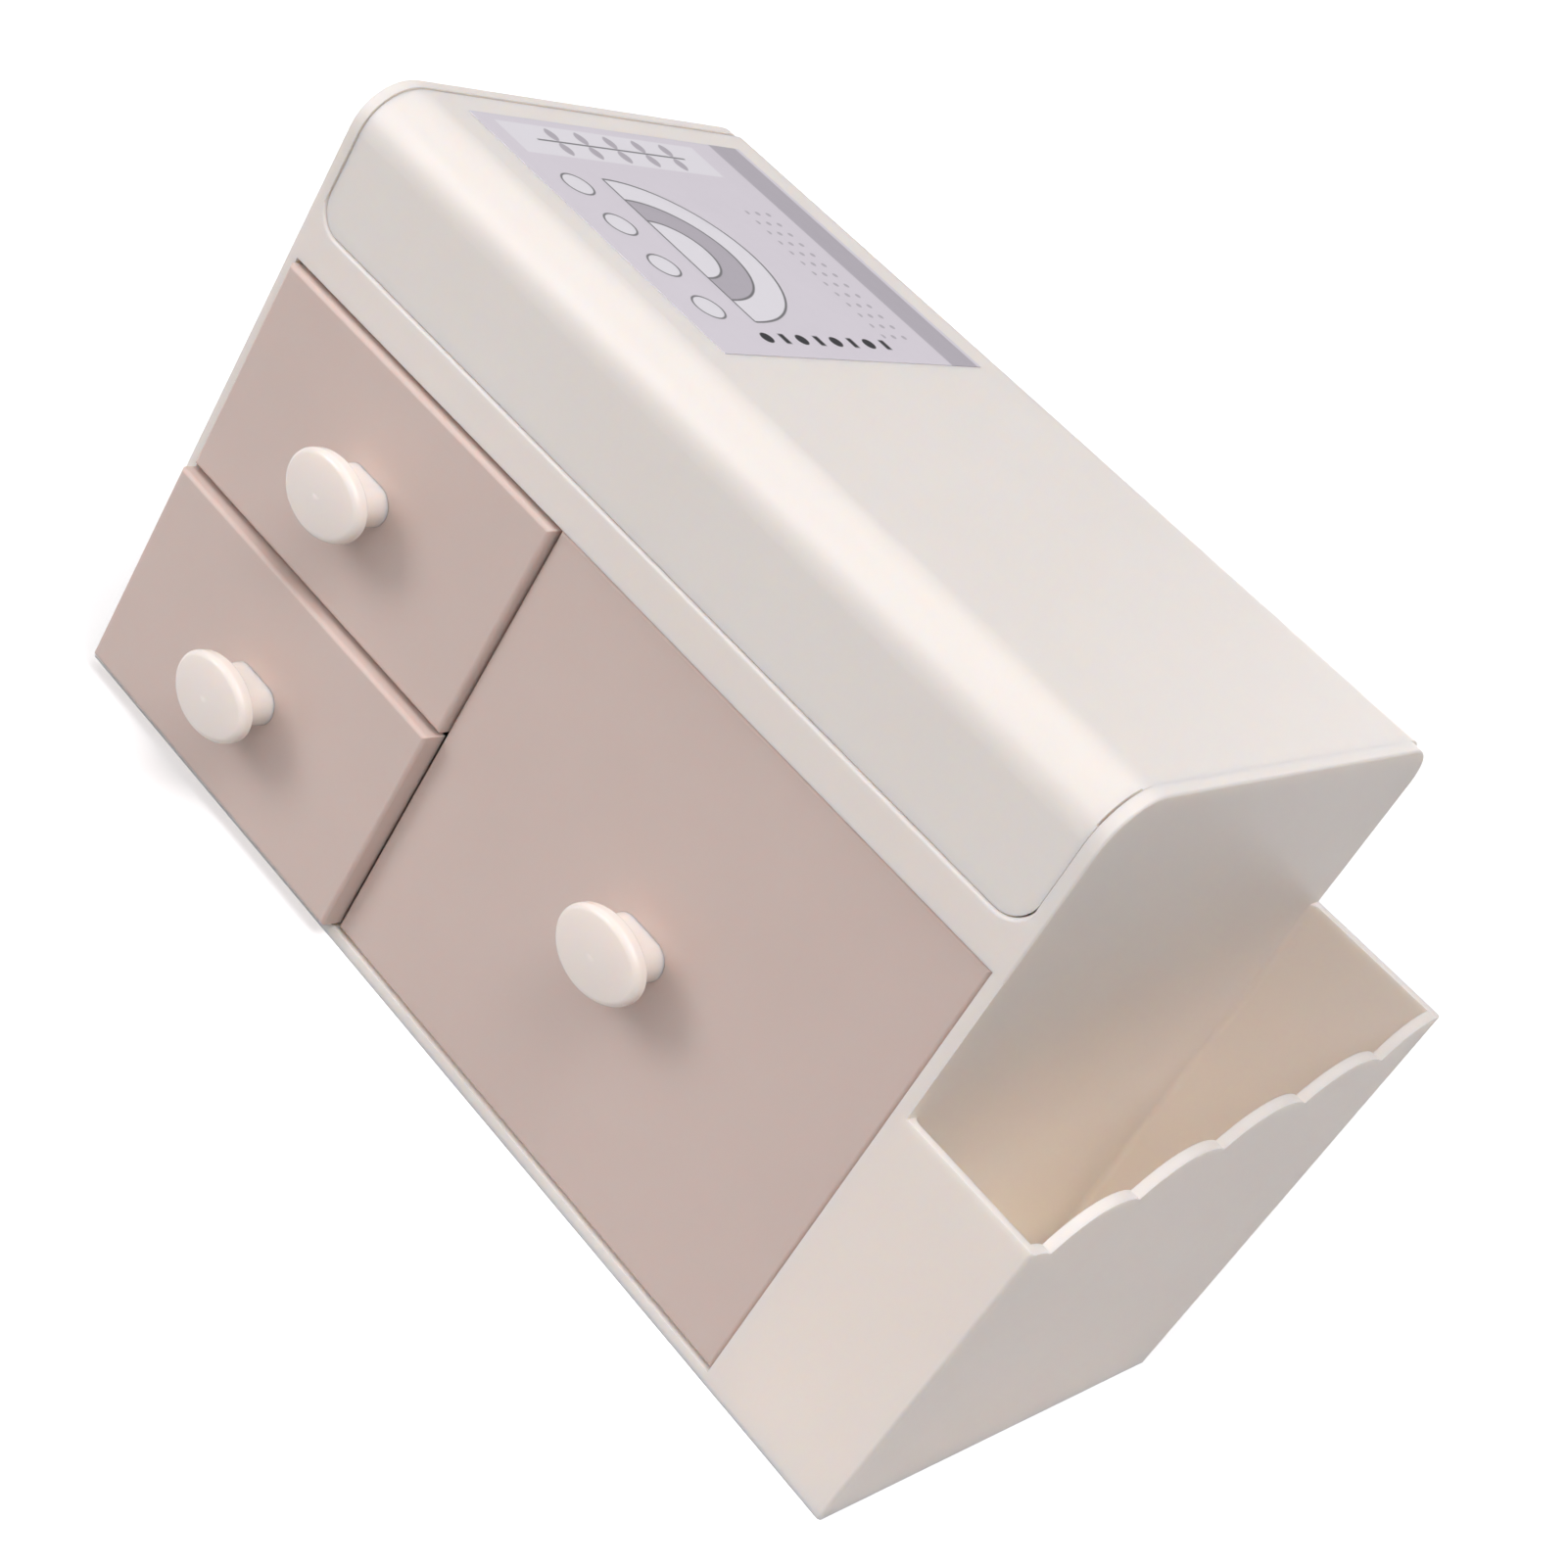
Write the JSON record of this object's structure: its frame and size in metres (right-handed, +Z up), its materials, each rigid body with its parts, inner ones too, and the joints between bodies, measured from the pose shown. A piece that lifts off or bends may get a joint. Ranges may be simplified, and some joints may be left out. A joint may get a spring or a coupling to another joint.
{
  "type": "tabletop drawer chest",
  "caption": "Moulded desktop chest with stacked small drawers beside a large one, a hinged lid over a shallow top compartment and an open side pocket with a wavy sloping edge.",
  "frame": {"origin": "centre of the bottom of the whole object's bounding box, on the surface it stands on", "axes": "+X toward the side pocket (right as seen from the front), +Y toward the back so the drawers open along -Y, +Z up"},
  "size_m": [0.272, 0.1458, 0.16],
  "materials": {
    "ivory_shell": "satin moulded, fine grain",
    "ivory_plate": "satin moulded",
    "ivory_lid": "satin moulded, fine grain",
    "label_paper": "semi-gloss printed paper",
    "taupe_plastic": "satin moulded",
    "ivory_knob": "gloss",
    "screw_steel": "zinc plated"
  },
  "bodies": {
    "casing": {"casing": "ivory_shell", "bay_divider": "ivory_plate", "bay_shelf": "ivory_plate", "compartment_floor": "ivory_plate"},
    "lid": {"lid": "ivory_lid", "label": "label_paper"},
    "upper_small_drawer": {"upper_small_drawer": "taupe_plastic", "upper_small_knob": "ivory_knob", "upper_small_knob_screw": "screw_steel"},
    "lower_small_drawer": {"lower_small_drawer": "taupe_plastic", "lower_small_knob": "ivory_knob", "lower_small_knob_screw": "screw_steel"},
    "large_drawer": {"large_drawer": "taupe_plastic", "large_knob": "ivory_knob", "large_knob_screw": "screw_steel"}
  },
  "joints": [
    {"name": "lid_hinge", "type": "hinge", "parent": "casing", "child": "lid", "pos_m": [-0.01838, 0.0664, 0.1532], "axis": [-1, 0, 0], "range_deg": [0, 100]},
    {"name": "upper_small_drawer_slide", "type": "slide", "parent": "casing", "child": "upper_small_drawer", "axis": [0, -1, 0], "range_m": [-0.0024, 0.0926]},
    {"name": "lower_small_drawer_slide", "type": "slide", "parent": "casing", "child": "lower_small_drawer", "axis": [0, -1, 0], "range_m": [-0.0052, 0.0898]},
    {"name": "large_drawer_slide", "type": "slide", "parent": "casing", "child": "large_drawer", "axis": [0, -1, 0], "range_m": [0, 0.095]}
  ]
}
